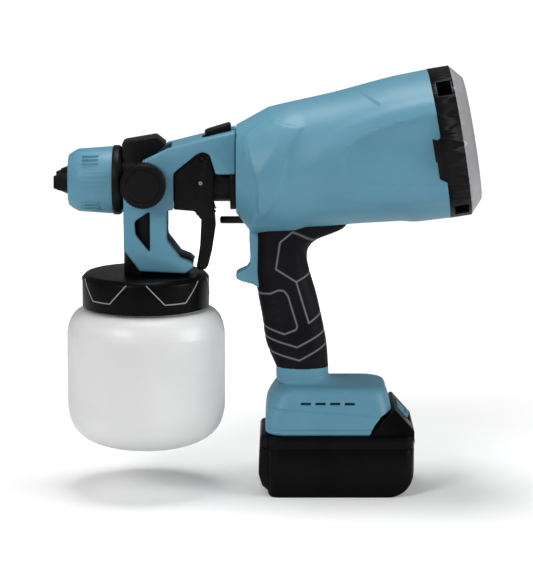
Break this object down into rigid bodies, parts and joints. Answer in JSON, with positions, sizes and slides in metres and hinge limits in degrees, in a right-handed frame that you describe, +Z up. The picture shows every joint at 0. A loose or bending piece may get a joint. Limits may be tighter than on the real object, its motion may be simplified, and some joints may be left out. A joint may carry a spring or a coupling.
{
  "type": "cordless paint sprayer",
  "caption": "Hand-held cordless turbine paint sprayer with a detachable spray gun, screw-on cup, trigger, flow knob, pistol grip and slide-in battery.",
  "frame": {"origin": "middle of the battery's flat bottom face, where the tool stands", "axes": "+Z up, -X the way it sprays, +Y across the grip to the side away from the flow knob"},
  "size_m": [0.3171, 0.1184, 0.3192],
  "materials": {
    "blue_shell": "moulded ABS, satin",
    "black_shell": "moulded nylon, fine texture",
    "black_rubber": "moulded soft grip",
    "black_gloss": "moulded nylon, satin",
    "white_cup": "blow moulded polyethylene",
    "inner_plastic": "moulded",
    "steel": "turned",
    "brass": "turned",
    "board": "glass fibre laminate",
    "cell_wrap": "shrink wrap",
    "foam": "open cell foam",
    "seal_rubber": "nitrile"
  },
  "bodies": {
    "root": {"housing_left": "blue_shell", "housing_right": "blue_shell", "grip_cover_left": "black_rubber", "grip_cover_right": "black_rubber", "housing_screws": "steel", "outlet_collar": "black_shell", "outlet_duct": "inner_plastic", "fan_case": "inner_plastic", "fan_inlet_plate": "inner_plastic", "motor_mount": "inner_plastic", "motor_can": "steel", "bearing_front": "steel", "bearing_rear": "steel", "filter_pad": "foam", "motor_switch": "inner_plastic", "rod_spring": "steel", "control_board": "board", "terminal_block": "inner_plastic", "power_leads": "seal_rubber"},
    "rotor": {"motor_shaft": "steel", "armature": "steel", "impeller": "inner_plastic", "impeller_nut": "brass"},
    "rear_cover": {"rear_cover": "black_shell"},
    "push_rod": {"push_rod": "black_shell"},
    "gun": {"frame_left": "blue_shell", "frame_right": "blue_shell", "frame_screws": "steel", "gun_body": "black_shell", "collar_ring": "black_shell", "air_pipe": "black_shell", "pipe_seal": "seal_rubber", "fluid_nozzle": "brass", "nozzle_seal": "seal_rubber", "needle_packing": "seal_rubber", "needle_spring": "steel", "trigger_pin": "steel", "release_spring": "steel", "lid": "black_shell", "lid_nut": "black_shell", "pickup_tube": "inner_plastic", "pickup_strainer": "inner_plastic", "check_valve": "seal_rubber"},
    "needle": {"needle": "steel", "needle_carrier": "inner_plastic"},
    "trigger": {"trigger": "black_gloss", "link_pin": "steel"},
    "knob": {"flow_knob": "black_shell", "knob_spindle": "steel"},
    "cap_nut": {"cap_nut": "blue_shell"},
    "air_cap": {"air_cap": "black_shell"},
    "release_button": {"release_button": "black_shell"},
    "cup_seal": {"cup_seal": "seal_rubber"},
    "container": {"container": "white_cup"},
    "battery": {"battery_case": "black_shell", "battery_top": "black_shell", "battery_cells": "cell_wrap", "battery_board": "board"},
    "battery_button": {"battery_button": "blue_shell"}
  },
  "joints": [
    {"name": "gun_release", "type": "slide", "parent": "root", "child": "gun", "axis": [-1, 0, 0], "range_m": [0, 0.045]},
    {"name": "trigger_pull", "type": "hinge", "parent": "gun", "child": "trigger", "pos_m": [-0.10275, 0, 0.2525], "axis": [0, -1, 0], "range_deg": [0, 12], "stiffness_Nm_per_rad": 1.5, "springref_deg": -11.46},
    {"name": "needle_slide", "type": "slide", "parent": "gun", "child": "needle", "axis": [1, 0, 0], "range_m": [0, 0.0042], "deforming": ["needle_spring"]},
    {"name": "rod_push", "type": "slide", "parent": "root", "child": "push_rod", "axis": [1, 0, 0], "range_m": [0, 0.0085], "deforming": ["rod_spring"]},
    {"name": "flow_knob_turn", "type": "hinge", "parent": "gun", "child": "knob", "pos_m": [-0.146, -0.03, 0.2342], "axis": [0, -1, 0], "range_deg": [0, 270]},
    {"name": "cap_nut_turn", "type": "hinge", "parent": "gun", "child": "cap_nut", "pos_m": [-0.185, 0, 0.2342], "axis": [-1, 0, 0], "range_deg": [0, 720]},
    {"name": "air_cap_turn", "type": "hinge", "parent": "gun", "child": "air_cap", "pos_m": [-0.2, 0, 0.2342], "axis": [-1, 0, 0], "range_deg": [-90, 90]},
    {"name": "release_press", "type": "slide", "parent": "gun", "child": "release_button", "axis": [0, 0, -1], "range_m": [0, 0.003], "stiffness_N_per_m": 900, "springref_m": -0.002, "deforming": ["release_spring"]},
    {"name": "container_turn", "type": "hinge", "parent": "gun", "child": "cup_seal", "pos_m": [-0.146, 0, 0.16], "axis": [0, 0, 1], "range_deg": [0, 180]},
    {"name": "container_drop", "type": "slide", "parent": "cup_seal", "child": "container", "axis": [0, 0, -1], "range_m": [0, 0.03]},
    {"name": "battery_slide", "type": "slide", "parent": "root", "child": "battery", "axis": [1, 0, 0], "range_m": [0, 0.085]},
    {"name": "battery_button_press", "type": "slide", "parent": "battery", "child": "battery_button", "axis": [0.6647, 0, -0.7471], "range_m": [0, 0.004], "stiffness_N_per_m": 700, "springref_m": -0.002},
    {"name": "rotor_spin", "type": "hinge", "parent": "root", "child": "rotor", "pos_m": [-0.078, 0, 0.2368], "axis": [0.9869, 0, 0.1616], "continuous": true},
    {"name": "rear_cover_off", "type": "slide", "parent": "root", "child": "rear_cover", "axis": [0.9869, 0, 0.1616], "range_m": [0, 0.03]}
  ],
  "couplings": [
    {"joint": "needle_slide", "follows": "trigger_pull", "m_per_rad": 0.0183},
    {"joint": "rod_push", "follows": "trigger_pull", "m_per_rad": 0.0385}
  ]
}
